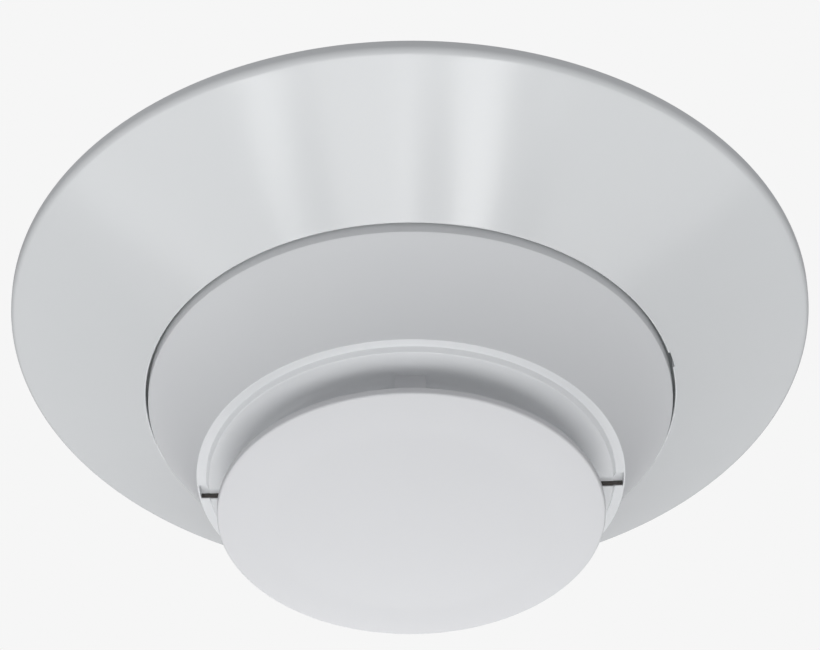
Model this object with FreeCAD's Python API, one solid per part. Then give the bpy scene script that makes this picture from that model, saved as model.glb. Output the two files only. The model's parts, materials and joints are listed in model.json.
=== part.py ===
"""Plug-in heat detector on a flanged ceiling base.

Frame: the origin is the centre of the base's back face, which lies on the ceiling. +Z points up into
the ceiling, so the detector hangs down to negative z. The two indicator slots lie near the X axis.
All sizes are in millimetres and all angles in degrees.
"""

import FreeCAD
import Part
import math
import os

V = FreeCAD.Vector
DOWN = V(0, 0, -1)
AXIS = V(0, 0, 1)
ORIGIN = V(0, 0, 0)

# ---------------------------------------------------------------- driving sizes
# trim flange
FLANGE_R = 77.5            # outer radius of the trim flange
FLANGE_RIM = 2.3           # height of its upright rim at the ceiling
FLANGE_DEPTH = 20.0       # how far its inner lip stands below the ceiling
FLANGE_WALL = 1.9
FLANGE_RIM_ROUND = 1.8
FLANGE_HOLLOW = 0.48       # how far the flange bows in from a straight cone
FLANGE_LIP_ROUND = 0.2
FLANGE_LIP_HEIGHT = 5.2
FLANGE_LIP_WALL = 1.8
NOTCH_WIDTH = 4.3          # screwdriver notch in the lip, opposite the tamper lever
NOTCH_CUT = 0.4
FLANGE_RIBS = 12
FLANGE_RIB_WALL = 1.2
FLANGE_RIB_HEIGHT = 2.6
HOOK_WIDTH = 10.0
HOOK_WALL = 1.4

# detector head
HEAD_R = 50.15             # outer radius of the head at the seam
SEAM_GAP = 0.55            # gap between the head and the flange lip
HEAD_ABOVE_SEAM = 1.4      # the head's upper edge stands this far above the flange lip's foot
HEAD_BELOW_SEAM = 1.4      # its upright rim ends this far below it, where the flare starts
HEAD_EDGE_ROUND = 0.35
BAND_R = 40.35             # outer radius of the flat band round the air inlet
BAND_WIDTH = 1.8
FLARE_HEIGHT = 17.4
FLARE_HOLLOW = 0.8         # how far the flare bows in from a straight cone
STEP_HEIGHT = 1.1          # the inlet floor stands this far below the band
STEP_DRAFT = 0.5
COVER_WALL = 1.8
FLOOR_WALL = 1.6
CURB_R = 31.0              # low wall round the inlet's middle
CURB_WALL = 1.4
CURB_HEIGHT = 2.3
CURB_FILLET = 2.0

# cap
CAP_R = 36.3
INLET_HEIGHT = 6.75        # open height of the air inlet
CAP_EDGE = 1.45
CAP_EDGE_ROUND = 0.45
CAP_SHOULDER_R = 26.5      # soft crease between the cap's rim and its dome
CAP_SHOULDER_DROP = 1.1    # the crease stands this far below the edge of the face
CAP_RIM_CROWN = 0.14
CAP_DOME_DROP = 1.8        # the middle stands this far below the crease
CAP_WALL = 2.15            # thickness of the cap's dome
PILLAR_WIDTH = 5.6
PILLAR_WALL = 1.3
PILLAR_INSET = 0.3         # how far the pillars stand in the curb and the floor
PILLAR_COUNT = 4
SPIGOT_R = 0.45

# thermal cage and thermistor
CAGE_BARS = 36
CAGE_BAR_WIDTH = 1.5
CAGE_RING = 0.9
THERMISTOR_R = 1.15
THERMISTOR_HANG = 3.5      # the bead hangs this far below the inlet's floor
LEAD_R = 0.25
LEAD_PITCH = 1.3
TOWER_R = 3.2
TOWER_BORE = 2.3

# indicator slots
SLOT_TURN = -2.25          # turns the pair of slots about the axis
SLOT_WIDTH = 3.9           # in the band; the part of the slot inside the band is narrower
SLOT_STEP = 1.25           # by this much
SLOT_SIDE = -0.3           # the slot runs from here to SLOT_SIDE + SLOT_WIDTH along Y
SLOT_CUT = 1.0
SLOT_END_WALL = 0.3        # plastic left between the slot's end and the band's edge
SLOT_START = 33.4
SLOT_BACKING = 1.5         # plastic above the slot
PIPE_BLADE = 0.3           # how far the light pipe's thin blades reach out from the slot's far wall
PIPE_SHORT = 0.1           # how far they stop short of the faces round the slot
PIPE_CLEAR = 0.05
LED_R = 1.5
LED_HEIGHT = 3.4

# base
PLATE_R = 62.0
PLATE_WALL = 2.4
APERTURE_R = 22.0          # wiring aperture
APERTURE_RIM = 1.4
APERTURE_RIM_HEIGHT = 1.6
HOOK_ROOM = 1.7            # gap between the flange lip's bore and the base wall
BASE_WALL = 1.8
WALL_TO_HEAD = 0.7         # gap between the base wall's foot and the head
ACCESS_WIDTH = 3.4         # screwdriver slot in the base wall
ACCESS_HEIGHT = 3.6
CATCH_REACH = 1.2
CATCH_HEIGHT = 1.8

# bayonet
TWIST = 20.0               # degrees from locked to free
PLINTH_HEIGHT = 6.5
PLINTH_WALL = 2.0
LUG_REACH = 3.6
LUG_HALF = 7.0             # half the lug's span, in degrees
LUG_WALL = 1.6
LEDGE_HALF = 9.0
LEDGE_WALL = 1.7
LEDGE_CLEAR = 0.1
COLLAR_GAP = 0.6           # from a lug's tip to the wall behind it
COLLAR_WALL = 1.8
COLLAR_PAST = 1.7          # degrees of wall behind each stop
STOP_GAP = 0.4             # degrees between a lug and its stop
BAYONET_ANGLES = (45.0, 135.0, 225.0, 315.0)

# terminals
TERMINAL_TO_WALL = 7.0     # from a terminal's middle to the base wall's outside
TERMINAL_TO_PLINTH = 12.0
TERMINAL_BOSS_R = 4.4
TERMINAL_DEPTH = 7.0
TERMINAL_PLATE = 0.8
TERMINAL_PLATE_SIZE = 8.4
SPRING_WALL = 0.5
SPRING_WIDTH = 6.0
SPRING_GAP = 0.2           # spring to blade
CLAMP_SIZE = 7.4
CLAMP_WALL = 0.9
SCREW_R = 1.6
SCREW_HEAD_R = 3.3
SCREW_HEAD = 2.0
SCREW_CLEAR = 0.35
SCREW_FIT = 0.05           # radial clearance in the threaded terminal plate
SCREW_SLOT = 0.9
SCREW_SLOT_DEPTH = 1.1

# fixing slots in the base plate
WIDE_SPACING = 83.3        # single-gang box
WIDE_SLOT = 10.0
NARROW_SPACING = 60.0      # round box
NARROW_SLOT = 11.6
FIXING_R = 2.3

# housing and electronics
HOUSING_GAP = 0.15
HOUSING_WALL = 2.0
HOUSING_PROUD = 0.1        # the housing plate stands this far above the cover's edge
BOARD_MARGIN = 5.35        # from the board's edge to the cover's bore
BOARD_WALL = 1.6
BOARD_SPACER = 1.2
SWITCH_SIZE = 10.0
SWITCH_HEIGHT = 6.0
SWITCH_X = 9.5
DIAL_R = 3.2
DIAL_HEIGHT = 1.2
DIAL_WINDOW_R = 4.8
DIAL_POINTER = 0.6
DIAL_GAP = 0.1
DIAL_STEM_R = 1.0
DIAL_STEM = 3.0
DIAL_FIT = 0.05
DIAL_TRAVEL = 202.5        # nine steps of the tens dial, up to its break-off stop
DIAL_STOP_CLEAR = 10.0     # degrees left for the pointer at each end of the stop
LABEL_MARGIN = 4.6
LABEL_WALL = 0.15
BLADE_WALL = 0.8
BLADE_CLEAR = 0.06
BOARD_SCREW_R = 1.1
BOARD_SCREW_HEAD_R = 2.1
BOARD_SCREW_INSET = 4.5
BOARD_SCREW_ANGLES = (90.0, 210.0, 330.0)
SNAP_COUNT = 8             # beads inside the cover's rim that hold the housing
SNAP_SPAN = 14.0
SNAP_BEAD = 0.55
SNAP_HEIGHT = 0.7
SHELF = 0.75               # ledge in the cover under the housing plate

# tamper lever
LEVER_ANGLE = -13.7
LEVER_WIDTH = 7.0
LEVER_WALL = 1.2
LEVER_GAP = 0.3
LEVER_FROM_WALL = 1.6      # gap between the lever and the base wall

# ---------------------------------------------------------------- worked-out sizes
LIP_R = HEAD_R + SEAM_GAP
HEAD_RIM_TOP = FLANGE_DEPTH - HEAD_ABOVE_SEAM
HEAD_RIM_FOOT = FLANGE_DEPTH + HEAD_BELOW_SEAM
BAND_DEPTH = HEAD_RIM_FOOT + FLARE_HEIGHT
CONE_SLOPE = (FLANGE_DEPTH - FLANGE_RIM) / (FLANGE_R - LIP_R)
CONE_STRETCH = math.hypot(1.0, CONE_SLOPE)
FLANGE_DROP = FLANGE_WALL * CONE_STRETCH
FLOOR_DEPTH = BAND_DEPTH + STEP_HEIGHT
FLOOR_R = BAND_R - BAND_WIDTH - STEP_DRAFT
THERMISTOR_DEPTH = FLOOR_DEPTH + THERMISTOR_HANG
CAP_BACK_DEPTH = FLOOR_DEPTH + INLET_HEIGHT
CAP_FACE_DEPTH = CAP_BACK_DEPTH + CAP_EDGE
COVER_BORE = HEAD_R - COVER_WALL
BASE_WALL_R = LIP_R - HOOK_ROOM
BASE_WALL_FOOT = HEAD_RIM_TOP - WALL_TO_HEAD
TERMINAL_PITCH_R = BASE_WALL_R - TERMINAL_TO_WALL
PLINTH_R = TERMINAL_PITCH_R - TERMINAL_TO_PLINTH
COLLAR_R = PLINTH_R + LUG_REACH + COLLAR_GAP
LABEL_R = PLINTH_R - LABEL_MARGIN
HOUSING_DEPTH = HEAD_RIM_TOP - HOUSING_PROUD
PLINTH_TOP = HOUSING_DEPTH - PLINTH_HEIGHT
PLATE_BACK = HOUSING_DEPTH + HOUSING_WALL
HOUSING_R = COVER_BORE - HOUSING_GAP
LUG_TOP = PLINTH_TOP + 0.4
LUG_FOOT = LUG_TOP + LUG_WALL
LUG_R = PLINTH_R + LUG_REACH
LEDGE_TOP = LUG_FOOT + LEDGE_CLEAR
LEDGE_FOOT = LEDGE_TOP + LEDGE_WALL
LEDGE_R = PLINTH_R + 0.7
BOARD_R = COVER_BORE - BOARD_MARGIN
BOARD_SCREW_PITCH_R = BOARD_R - BOARD_SCREW_INSET
BOARD_TOP = PLATE_BACK + BOARD_SPACER
BOARD_FOOT = BOARD_TOP + BOARD_WALL
SLOT_END = BAND_R - SLOT_END_WALL
SLOT_FAR = SLOT_SIDE + SLOT_WIDTH
SLOT_BEND = SLOT_FAR - SLOT_STEP
SLOT_ROOF = BAND_DEPTH - SLOT_CUT
INNER_ROOF = FLOOR_DEPTH - SLOT_CUT
CURB_FOOT = FLOOR_DEPTH + CURB_HEIGHT
PILLAR_R = CURB_R - PILLAR_INSET
CAGE_R = CURB_R - PILLAR_INSET - 0.1
DIAL_TOP = BOARD_TOP - SWITCH_HEIGHT - DIAL_HEIGHT
CLAMP_TOP = TERMINAL_DEPTH + TERMINAL_PLATE
HEAD_SEAT = CLAMP_TOP + CLAMP_WALL
HOOK_TOP = PLATE_WALL + 1.6
REBATE_FOOT = HEAD_RIM_TOP + SNAP_HEIGHT + 0.1
CATCH_TOP = HOOK_TOP + CATCH_HEIGHT + 0.15


# ---------------------------------------------------------------- helpers
def point(r, depth):
    """A point of a half section, from its radius and its depth below the ceiling."""
    return V(r, 0, -depth)


def corner_arc(corner, to_before, to_after, radius):
    """Where a rounded corner starts, its middle and where it ends, from the directions of its two edges."""
    half = to_before.getAngle(to_after) / 2
    reach = radius / math.tan(half)
    before = to_before * (reach / to_before.Length)
    after = to_after * (reach / to_after.Length)
    middle = (before + after).normalize()
    centre = corner + middle * (radius / math.sin(half))
    return corner + before, centre - middle * radius, corner + after


def sideways(chord, bow):
    """From a chord's middle to its arc's, square to the chord; positive bends a falling edge inwards."""
    return V(chord.z, 0, -chord.x).normalize() * bow


def dome_bow(radius, drop):
    """The bow that makes a dome's arc part of a ball centred on the axis."""
    ball = (radius * radius + drop * drop) / (2 * drop)
    return -(ball - math.sqrt(ball * ball - (radius * radius + drop * drop) / 4))


def outline(corners):
    """A closed face from corners (point, round radius) or (point, round radius, bow of the next edge)."""
    count = len(corners)
    points = [c[0] for c in corners]
    bows = [c[2] if len(c) > 2 else 0 for c in corners]
    starts, ends, edges = [], [], []
    for i in range(count):
        if not corners[i][1]:
            starts.append(points[i])
            ends.append(points[i])
            continue
        last = points[i] - points[i - 1]
        ahead = points[(i + 1) % count] - points[i]
        to_before = last * -1 + sideways(last, bows[i - 1]) * 4
        to_after = ahead + sideways(ahead, bows[i]) * 4
        first, middle, end = corner_arc(points[i], to_before, to_after, corners[i][1])
        edges.append(Part.Arc(first, middle, end).toShape())
        starts.append(end)
        ends.append(first)
    for i in range(count):
        a, b = starts[i], ends[(i + 1) % count]
        if bows[i]:
            edges.append(Part.Arc(a, (a + b) * 0.5 + sideways(b - a, bows[i]), b).toShape())
        elif (b - a).Length > 1e-6:
            edges.append(Part.LineSegment(a, b).toShape())
    return Part.Face(Part.Wire(Part.__sortEdges__(edges)))


def turned(corners, angle=360.0):
    """The outline turned about the detector's axis."""
    return outline(corners).revolve(ORIGIN, AXIS, angle)


def plain(pairs):
    """Outline corners with no rounding, from (radius, depth) pairs."""
    return [(point(r, depth), 0) for r, depth in pairs]


def ring(r_in, r_out, top, foot):
    """A plain ring between two depths."""
    outer = Part.makeCylinder(r_out, foot - top, V(0, 0, -foot))
    return outer.cut(Part.makeCylinder(r_in, foot - top, V(0, 0, -foot))) if r_in else outer


def arc_block(r_in, r_out, top, foot, start, end):
    """A piece of a ring between two angles."""
    block = turned(plain([(r_in, top), (r_out, top), (r_out, foot), (r_in, foot)]), end - start)
    return rotated(block, start)


def rotated(shape, angle, centre=ORIGIN):
    copy = shape.copy()
    copy.rotate(centre, AXIS, angle)
    return copy


def moved(shape, x=0.0, y=0.0, z=0.0):
    copy = shape.copy()
    copy.translate(V(x, y, z))
    return copy


def block(x0, x1, y0, y1, top, foot):
    """A box between x, y and depth limits."""
    return Part.makeBox(x1 - x0, y1 - y0, foot - top, V(x0, y0, -foot))


def rod(r, top, foot, x=0.0, y=0.0):
    return Part.makeCylinder(r, foot - top, V(x, y, -foot))


def radial_plate(pairs, width):
    """A plate that stands in the plane of the axis, from its (radius, depth) outline."""
    face = outline(plain(pairs))
    face.translate(V(0, -width / 2, 0))
    return face.extrude(V(0, width, 0))


def joined(shapes):
    """The shapes as one solid."""
    whole = shapes[0].fuse(shapes[1:]) if len(shapes) > 1 else shapes[0]
    return whole.removeSplitter()


def slot_cutter(spacing, length, along_x, top, foot):
    """Two round-ended slots, one each side of the axis."""
    cutters = []
    half = length / 2 - FIXING_R
    for side in (-1, 1):
        middle = side * spacing / 2
        bar = block(middle - half, middle + half, -FIXING_R, FIXING_R, top, foot)
        ends = [rod(FIXING_R, top, foot, middle - half), rod(FIXING_R, top, foot, middle + half)]
        cutters.append(joined([bar] + ends))
    if not along_x:
        cutters = [rotated(c, 90.0) for c in cutters]
    return cutters


def screw(head_r, head, shank_r, seat, tip, slot, slot_depth):
    """A round-headed screw on the Z axis, head down, its head's upper face at depth seat."""
    head_shape = Part.makeCylinder(head_r, head, V(0, 0, -seat - head))
    foot_edges = [e for e in head_shape.Edges if abs(e.CenterOfMass.z + seat + head) < 1e-6]
    head_shape = head_shape.makeFillet(head * 0.35, foot_edges)
    shank = rod(shank_r, tip, seat)
    whole = joined([head_shape, shank])
    for angle in (0.0, 90.0):
        cutter = block(-head_r * 0.7, head_r * 0.7, -slot / 2, slot / 2,
                       seat + head - slot_depth, seat + head + 1)
        whole = whole.cut(rotated(cutter, angle))
    return whole


# ---------------------------------------------------------------- base pieces
def shell_depth(r, into=0.0):
    """Depth of the flange's back face at a radius; into goes deeper into its wall."""
    along = (FLANGE_R - r) / (FLANGE_R - LIP_R)
    chord = FLANGE_RIM + (FLANGE_R - r) * CONE_SLOPE
    hollow = 4 * FLANGE_HOLLOW * CONE_STRETCH * along * (1 - along)
    return chord - hollow - FLANGE_DROP + into


def trim_flange():
    """The wide cone that hides the base and the ceiling box."""
    lip_back = LIP_R + FLANGE_LIP_WALL
    lip_top = FLANGE_DEPTH - FLANGE_LIP_HEIGHT
    rim_back = FLANGE_R - FLANGE_WALL
    shell = turned([
        (point(FLANGE_R, 0), 0),
        (point(FLANGE_R, FLANGE_RIM), FLANGE_RIM_ROUND, FLANGE_HOLLOW),
        (point(LIP_R, FLANGE_DEPTH), FLANGE_LIP_ROUND),
        (point(LIP_R, lip_top), 0),
        (point(lip_back, lip_top), 0),
        (point(lip_back, shell_depth(lip_back)), 0, -FLANGE_HOLLOW),
        (point(rim_back, shell_depth(rim_back)), 0),
        (point(rim_back, 0), 0),
    ])
    bite = 0.5
    rib_in, rib_out = lip_back - bite, rim_back + bite
    rib = radial_plate([
        (rib_in, shell_depth(rib_in, bite)), (rib_out, shell_depth(rib_out, bite)),
        (rib_out, shell_depth(rib_out, -bite)), (rib_in, shell_depth(rib_in, -FLANGE_RIB_HEIGHT)),
    ], FLANGE_RIB_WALL)
    ribs = [rotated(rib, i * 360.0 / FLANGE_RIBS) for i in range(FLANGE_RIBS)]
    barb_r = BASE_WALL_R + 0.3
    barb_foot = HOOK_TOP + CATCH_HEIGHT
    hook = radial_plate([
        (LIP_R, lip_top + bite), (LIP_R, barb_foot), (barb_r, barb_foot), (barb_r, HOOK_TOP + 0.8),
        (LIP_R, HOOK_TOP), (LIP_R + HOOK_WALL, HOOK_TOP), (LIP_R + HOOK_WALL, lip_top + bite),
    ], HOOK_WIDTH)
    hooks = [rotated(hook, a) for a in BAYONET_ANGLES]
    half = NOTCH_WIDTH / 2
    notch = block(LIP_R - 1, LIP_R + NOTCH_CUT, -half, half, lip_top - 1, FLANGE_DEPTH + 1)
    return joined([shell] + ribs + hooks).cut(rotated(notch, LEVER_ANGLE))


def fixing_slots(top, foot):
    wide = slot_cutter(WIDE_SPACING, WIDE_SLOT, False, top, foot)
    return wide + slot_cutter(NARROW_SPACING, NARROW_SLOT, True, top, foot)


def bayonet_station():
    """One ledge with its stops and the wall behind it, centred on the X axis."""
    locked_stop = LUG_HALF + STOP_GAP
    free_stop = -TWIST - LUG_HALF - STOP_GAP
    first = free_stop - COLLAR_PAST
    last = locked_stop + COLLAR_PAST
    ledge_r = COLLAR_R + 0.1
    wall = arc_block(COLLAR_R, COLLAR_R + COLLAR_WALL, PLATE_WALL - 0.1, LEDGE_FOOT, first, last)
    ledge = arc_block(LEDGE_R, ledge_r, LEDGE_TOP, LEDGE_FOOT, -LEDGE_HALF, last)
    stop = arc_block(LEDGE_R, ledge_r, PLINTH_TOP - 1.0, LEDGE_FOOT, locked_stop, last)
    free = arc_block(LEDGE_R, ledge_r, PLINTH_TOP - 1.0, LEDGE_FOOT, first, free_stop)
    window = block(COLLAR_R - 1, COLLAR_R + COLLAR_WALL + 1, -SPRING_WIDTH / 2 - 0.4, SPRING_WIDTH / 2 + 0.4,
                   TERMINAL_DEPTH - 0.6, PLINTH_TOP - 0.2)
    return joined([wall.cut(window), ledge, stop, free])


def catch():
    """A small ramp outside the base wall that a flange hook snaps over."""
    inner = BASE_WALL_R - 0.2
    outer = BASE_WALL_R + CATCH_REACH
    return radial_plate([(inner, CATCH_TOP), (outer, CATCH_TOP), (outer, CATCH_TOP + 0.6),
                         (inner, CATCH_TOP + CATCH_HEIGHT)],
                        HOOK_WIDTH - 1.0)


def mounting_base():
    """The moulded base: back plate, wiring aperture, outer wall, bayonet stations and terminal bosses."""
    plate = ring(APERTURE_R, PLATE_R, 0, PLATE_WALL)
    rim = ring(APERTURE_R, APERTURE_R + APERTURE_RIM, PLATE_WALL - 0.1, PLATE_WALL + APERTURE_RIM_HEIGHT)
    wall = ring(BASE_WALL_R - BASE_WALL, BASE_WALL_R, PLATE_WALL - 0.1, BASE_WALL_FOOT)
    stations = [rotated(bayonet_station(), a) for a in BAYONET_ANGLES]
    catches = [rotated(catch(), a) for a in BAYONET_ANGLES]
    bosses = [rotated(rod(TERMINAL_BOSS_R, PLATE_WALL - 0.1, TERMINAL_DEPTH, TERMINAL_PITCH_R), a)
              for a in BAYONET_ANGLES]
    whole = joined([plate, rim, wall, tamper_tab()] + stations + catches + bosses)
    holes = [rotated(rod(SCREW_R + SCREW_CLEAR, PLATE_WALL - 1.2, TERMINAL_DEPTH + 1, TERMINAL_PITCH_R), a)
             for a in BAYONET_ANGLES]
    half = ACCESS_WIDTH / 2
    access = block(BASE_WALL_R - BASE_WALL - 1, BASE_WALL_R + 1, -half, half,
                   BASE_WALL_FOOT - ACCESS_HEIGHT, BASE_WALL_FOOT + 1)
    return whole.cut(fixing_slots(-1, PLATE_WALL + 1) + holes + [rotated(access, LEVER_ANGLE)])


def contact_spring():
    """A terminal plate with a leaf that reaches in and presses on the head's blade; on the X axis."""
    half = TERMINAL_PLATE_SIZE / 2
    plate = block(TERMINAL_PITCH_R - half, TERMINAL_PITCH_R + half, -half, half,
                  TERMINAL_DEPTH, TERMINAL_DEPTH + TERMINAL_PLATE)
    plate = plate.cut(rod(SCREW_R + SCREW_FIT, 0, HEAD_SEAT, TERMINAL_PITCH_R))
    root = TERMINAL_PITCH_R - half + 0.5
    bend = COLLAR_R + COLLAR_WALL
    tip = LUG_TOP - SPRING_GAP
    touch = PLINTH_R + LUG_REACH / 2 + 0.4
    leaf = radial_plate([
        (root, TERMINAL_DEPTH), (bend, TERMINAL_DEPTH), (touch + 0.6, tip - SPRING_WALL * 1.6),
        (LEDGE_R - 0.2, tip - SPRING_WALL - 1.4), (LEDGE_R - 0.2, tip - 1.4), (touch - 0.5, tip),
        (touch + 0.6, tip), (bend + 0.3, TERMINAL_DEPTH + SPRING_WALL), (root, TERMINAL_DEPTH + SPRING_WALL),
    ], SPRING_WIDTH)
    return joined([plate, leaf])


def terminal_clamp():
    """A square clamping washer with turned-down corners, on the X axis."""
    half = CLAMP_SIZE / 2
    washer = block(TERMINAL_PITCH_R - half, TERMINAL_PITCH_R + half, -half, half, CLAMP_TOP, HEAD_SEAT)
    upright = [e for e in washer.Edges if abs(e.Vertexes[0].X - e.Vertexes[1].X) < 1e-6
               and abs(e.Vertexes[0].Y - e.Vertexes[1].Y) < 1e-6]
    washer = washer.makeFillet(0.8, upright)
    return washer.cut(rod(SCREW_R + SCREW_CLEAR, 0, HEAD_SEAT + 1, TERMINAL_PITCH_R))


def terminal_screw():
    """The terminal's screw, on the X axis."""
    whole = screw(SCREW_HEAD_R, SCREW_HEAD, SCREW_R, HEAD_SEAT, PLATE_WALL + 0.3,
                  SCREW_SLOT, SCREW_SLOT_DEPTH)
    return moved(whole, TERMINAL_PITCH_R)


def tamper_lever():
    """The flexible tongue that can lock the head; it hangs from the plate just inside the base wall."""
    outer = BASE_WALL_R - BASE_WALL - LEVER_FROM_WALL
    inner = outer - LEVER_WALL
    foot = HOUSING_DEPTH - 0.6
    lever = radial_plate([
        (inner, PLATE_WALL + LEVER_GAP), (outer, PLATE_WALL + LEVER_GAP), (outer, foot - 3.0),
        (outer + 0.9, foot - 1.2), (outer + 0.9, foot), (inner, foot),
    ], LEVER_WIDTH)
    return rotated(lever, LEVER_ANGLE)


def tamper_tab():
    """The small break-off tab on the base wall beside the lever's tip, which keeps the lock idle."""
    outer = BASE_WALL_R - BASE_WALL + 0.2
    foot = HOUSING_DEPTH - 1.6
    start = LEVER_ANGLE + math.degrees(LEVER_WIDTH / 2 / outer) + 0.8
    return arc_block(outer - 2.1, outer, foot - 4.0, foot, start, start + 4.0)


# ---------------------------------------------------------------- head pieces
def both_sides(shape):
    """A slot's piece and its mirror image on the left, both turned with the slots."""
    return [rotated(s, SLOT_TURN) for s in (shape, shape.mirror(ORIGIN, V(1, 0, 0)))]


def head_cover():
    """The visible shell: flare, flat band and the recessed floor of the air inlet with its curb."""
    inner_floor = FLOOR_DEPTH - FLOOR_WALL
    hole_r = TOWER_R + 0.3
    shell = turned([
        (point(HEAD_R, HEAD_RIM_TOP), 0.2),
        (point(HEAD_R, HEAD_RIM_FOOT), HEAD_EDGE_ROUND, FLARE_HOLLOW),
        (point(BAND_R, BAND_DEPTH), 0.15),
        (point(BAND_R - BAND_WIDTH, BAND_DEPTH), 0.1),
        (point(FLOOR_R, FLOOR_DEPTH), 0.3),
        (point(CURB_R, FLOOR_DEPTH), CURB_FILLET),
        (point(CURB_R, CURB_FOOT), 0.2),
        (point(CURB_R - CURB_WALL, CURB_FOOT), 0),
        (point(CURB_R - CURB_WALL, FLOOR_DEPTH), 0),
        (point(hole_r, FLOOR_DEPTH), 0),
        (point(hole_r, inner_floor), 0),
        (point(FLOOR_R - FLOOR_WALL, inner_floor), 0),
        (point(BAND_R - COVER_WALL, BAND_DEPTH - COVER_WALL), 0, -FLARE_HOLLOW),
        (point(COVER_BORE - SHELF, HEAD_RIM_FOOT + 0.3), 0),
        (point(COVER_BORE - SHELF, PLATE_BACK + 0.05), 0),
        (point(COVER_BORE, PLATE_BACK + 0.05), 0),
        (point(COVER_BORE, HEAD_RIM_TOP), 0),
    ])
    bead = arc_block(COVER_BORE - SNAP_BEAD, COVER_BORE + 0.2, HEAD_RIM_TOP, HEAD_RIM_TOP + SNAP_HEIGHT,
                     -SNAP_SPAN / 2, SNAP_SPAN / 2)
    beads = [rotated(bead, i * 360.0 / SNAP_COUNT) for i in range(SNAP_COUNT)]
    backing = block(SLOT_START - 1.5, FLOOR_R, SLOT_SIDE - 1.5, SLOT_FAR + 2.0,
                    SLOT_ROOF - SLOT_BACKING, FLOOR_DEPTH - 0.5)
    shell = joined([shell] + beads + both_sides(backing))
    groove = joined([
        block(SLOT_START, FLOOR_R + 1, SLOT_SIDE, SLOT_BEND, INNER_ROOF, FLOOR_DEPTH + 1),
        block(FLOOR_R, BAND_R, SLOT_SIDE, SLOT_FAR, SLOT_ROOF, FLOOR_DEPTH + 1),
    ]).common(rod(SLOT_END, SLOT_ROOF - 1, FLOOR_DEPTH + 2))
    slit = light_pipe_stem(PIPE_CLEAR)
    cutters = both_sides(groove) + both_sides(slit)
    half = PILLAR_WIDTH / 2 + 0.05
    seat = block(PILLAR_R - 0.05, PILLAR_R + PILLAR_WALL + 0.05, -half, half,
                 FLOOR_DEPTH - PILLAR_INSET, CURB_FOOT + 1)
    spigot = rod(SPIGOT_R + 0.05, inner_floor - 1, FLOOR_DEPTH + 1, PILLAR_R + PILLAR_WALL / 2)
    cutters += [rotated(c, i * 360.0 / PILLAR_COUNT) for i in range(PILLAR_COUNT) for c in (seat, spigot)]
    return shell.cut(cutters)


def cap_disc():
    """The shallow domed cap that hangs below the air inlet on four flat pillars."""
    shoulder = CAP_FACE_DEPTH + CAP_SHOULDER_DROP
    middle = shoulder + CAP_DOME_DROP
    crown = dome_bow(CAP_SHOULDER_R, CAP_DOME_DROP)
    disc = turned([
        (point(0, CAP_BACK_DEPTH), 0),
        (point(CAP_R, CAP_BACK_DEPTH), 0.2),
        (point(CAP_R, CAP_FACE_DEPTH), CAP_EDGE_ROUND, -CAP_RIM_CROWN),
        (point(CAP_SHOULDER_R, shoulder), 0, crown),
        (point(0, middle), 0),
    ])
    hollow = turned([
        (point(0, CAP_BACK_DEPTH - 1), 0),
        (point(CAP_SHOULDER_R, CAP_BACK_DEPTH - 1), 0),
        (point(CAP_SHOULDER_R, shoulder - CAP_WALL), 0, crown),
        (point(0, middle - CAP_WALL), 0),
    ])
    pillar = block(PILLAR_R, PILLAR_R + PILLAR_WALL, -PILLAR_WIDTH / 2, PILLAR_WIDTH / 2,
                   FLOOR_DEPTH - PILLAR_INSET, CAP_BACK_DEPTH + 0.2)
    spigot = rod(SPIGOT_R, FLOOR_DEPTH - FLOOR_WALL, FLOOR_DEPTH + 0.2, PILLAR_R + PILLAR_WALL / 2)
    pillar = joined([pillar, spigot])
    pillars = [rotated(pillar, i * 360.0 / PILLAR_COUNT) for i in range(PILLAR_COUNT)]
    return joined([disc.cut(hollow)] + pillars)


def thermal_cage():
    """The slotted ring under the curb that lets air through to the thermistor and keeps fingers out."""
    inner = CAGE_R - CURB_WALL
    top = ring(inner, CAGE_R, CURB_FOOT, CURB_FOOT + CAGE_RING)
    foot = ring(inner, CAGE_R, CAP_BACK_DEPTH - CAGE_RING, CAP_BACK_DEPTH)
    bar = block(inner + 0.1, CAGE_R - 0.1, -CAGE_BAR_WIDTH / 2, CAGE_BAR_WIDTH / 2,
                CURB_FOOT + 0.2, CAP_BACK_DEPTH - 0.2)
    return joined([top, foot] + [rotated(bar, i * 360.0 / CAGE_BARS) for i in range(CAGE_BARS)])


def blade(clear=0.0):
    """A contact blade on the X axis: a flat tongue, the bend and the leg down to the board."""
    half = math.radians(LUG_HALF) * PLINTH_R - 0.4 + clear
    leg_r = PLINTH_R - PLINTH_WALL - 1.4
    top = LUG_TOP - clear
    foot = LUG_TOP + BLADE_WALL + clear
    tongue = block(leg_r - clear, LUG_R + clear, -half, half, top, foot)
    leg = block(leg_r - clear, leg_r + BLADE_WALL + clear, -half + 1.2, half - 1.2, top, BOARD_TOP)
    return joined([tongue, leg])


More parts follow.
